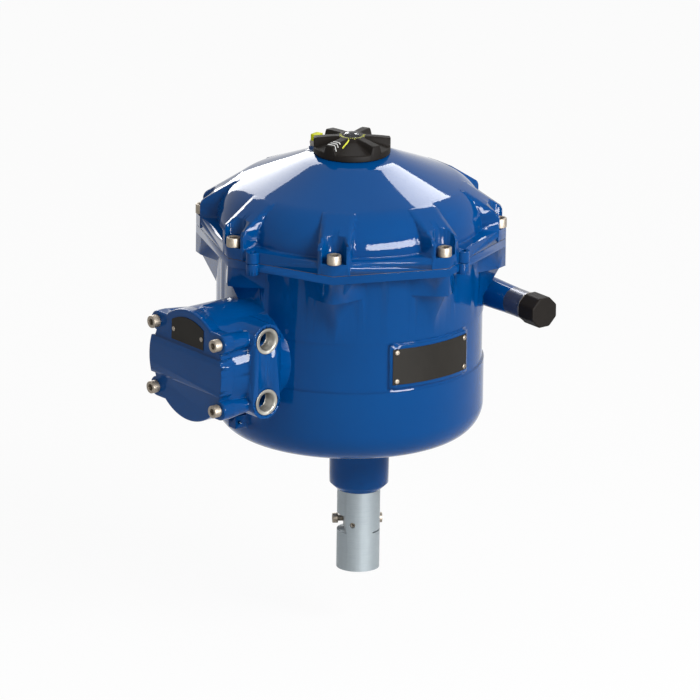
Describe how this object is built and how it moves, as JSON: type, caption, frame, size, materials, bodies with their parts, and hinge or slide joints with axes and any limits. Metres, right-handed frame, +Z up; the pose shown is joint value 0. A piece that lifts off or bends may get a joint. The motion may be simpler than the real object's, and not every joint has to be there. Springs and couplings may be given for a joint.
{
  "type": "linear electric valve actuator",
  "caption": "Electric actuator with a round bolted housing, coned cover with selector knob, side terminal compartment, side hand drive and a linear output tube below.",
  "frame": {"origin": "on the output axis, in the flat underside of the housing, at the centre of the yoke bolts", "axes": "+Z up along the output axis, away from the valve; -X towards the terminal compartment; -Y towards the hand drive's cap"},
  "size_m": [0.4658, 0.4148, 0.5766],
  "materials": {
    "blue_paint": "glossy blue paint",
    "gasket_fibre": "matt fibre sheet",
    "screw_steel": "plain steel",
    "black_plastic": "satin black",
    "clear_lens": "clear, polished",
    "yellow_plastic": "satin yellow",
    "bracket_steel": "zinc plated",
    "seal_rubber": "matt black",
    "black_label": "satin black film",
    "turned_steel": "turned steel",
    "bronze": "bearing bronze",
    "motor_alloy": "cast, bead blasted",
    "board_green": "solder mask",
    "capacitor_sleeve": "sleeved"
  },
  "bodies": {
    "housing": {"housing": "blue_paint", "top_cover": "blue_paint", "flange_gasket": "gasket_fibre", "flange_screws": "screw_steel", "knob_seal": "seal_rubber", "selector_switch": "black_plastic", "tab_bracket": "bracket_steel", "index_tab": "yellow_plastic", "tab_screw": "screw_steel", "terminal_cover": "blue_paint", "terminal_seal": "seal_rubber", "terminal_cover_screws": "screw_steel", "label_plate": "black_label", "label_rivets": "screw_steel", "cable_entry_rings": "turned_steel", "terminal_block": "black_plastic", "rating_plate": "black_label", "rating_plate_screws": "screw_steel", "drive_sleeve": "turned_steel", "guide_bush": "bronze", "wiper_seal": "seal_rubber", "guide_rod": "turned_steel", "thrust_bearing": "turned_steel", "spindle_bracket": "bracket_steel", "bearing_plate": "bracket_steel", "plate_posts": "bracket_steel", "plate_bolts": "screw_steel", "motor_case": "motor_alloy", "motor_end_cap": "black_plastic", "motor_stator": "turned_steel", "circuit_board": "board_green", "board_posts": "bracket_steel", "capacitor_pack": "capacitor_sleeve", "position_sensor": "capacitor_sleeve"},
    "knob": {"selector_knob": "black_plastic", "knob_lens": "clear_lens", "knob_shaft": "turned_steel"},
    "drive_screw": {"drive_screw": "turned_steel", "main_gear": "turned_steel", "screw_locknut": "turned_steel"},
    "output": {"output_tube": "turned_steel", "pinch_screws": "screw_steel", "set_screw": "screw_steel", "drive_nut": "bronze", "nut_carrier": "turned_steel"},
    "motor_rotor": {"motor_rotor": "turned_steel", "motor_pinion": "turned_steel"},
    "layshaft": {"layshaft": "turned_steel", "layshaft_pinion": "turned_steel", "layshaft_mitre_gear": "turned_steel"},
    "clutch_spindle": {"clutch_spindle": "turned_steel", "spindle_mitre_gear": "turned_steel"},
    "hand_cartridge": {"hand_cartridge": "bronze"},
    "hand_shaft": {"hand_shaft": "turned_steel"},
    "push_cap": {"push_cap": "black_plastic"}
  },
  "joints": [
    {"name": "knob_turn", "type": "hinge", "parent": "housing", "child": "knob", "pos_m": [-0.0186, 0, 0.362], "axis": [0, 0, 1], "range_deg": [-60, 60]},
    {"name": "screw_spin", "type": "hinge", "parent": "housing", "child": "drive_screw", "pos_m": [0, 0, 0.135], "axis": [0, 0, 1], "range_deg": [-403.2, 1036.8]},
    {"name": "output_slide", "type": "slide", "parent": "housing", "child": "output", "axis": [0, 0, -1], "range_m": [-0.0281, 0.0721]},
    {"name": "motor_spin", "type": "hinge", "parent": "housing", "child": "motor_rotor", "pos_m": [-0.12, 0, 0.12], "axis": [0, 0, 1], "range_deg": [-7260, 2825]},
    {"name": "layshaft_spin", "type": "hinge", "parent": "housing", "child": "layshaft", "pos_m": [0.12, 0, 0.134], "axis": [0, 0, 1], "range_deg": [-7260, 2825]},
    {"name": "spindle_spin", "type": "hinge", "parent": "housing", "child": "clutch_spindle", "pos_m": [0.12, -0.028, 0.1788], "axis": [0, -1, 0], "range_deg": [-7260, 2825]},
    {"name": "hand_push", "type": "slide", "parent": "housing", "child": "hand_cartridge", "axis": [0, 1, 0], "range_m": [0, 0.005], "stiffness_N_per_m": 400},
    {"name": "hand_turn", "type": "hinge", "parent": "hand_cartridge", "child": "hand_shaft", "pos_m": [0.12, -0.15, 0.1788], "axis": [0, -1, 0], "continuous": true},
    {"name": "cap_pull", "type": "slide", "parent": "housing", "child": "push_cap", "axis": [0, -1, 0], "range_m": [0, 0.035]}
  ],
  "couplings": [
    {"joint": "output_slide", "follows": "screw_spin", "m_per_rad": 0.0039789},
    {"joint": "motor_spin", "follows": "screw_spin", "ratio": -7},
    {"joint": "layshaft_spin", "follows": "screw_spin", "ratio": -7},
    {"joint": "spindle_spin", "follows": "screw_spin", "ratio": -7}
  ]
}
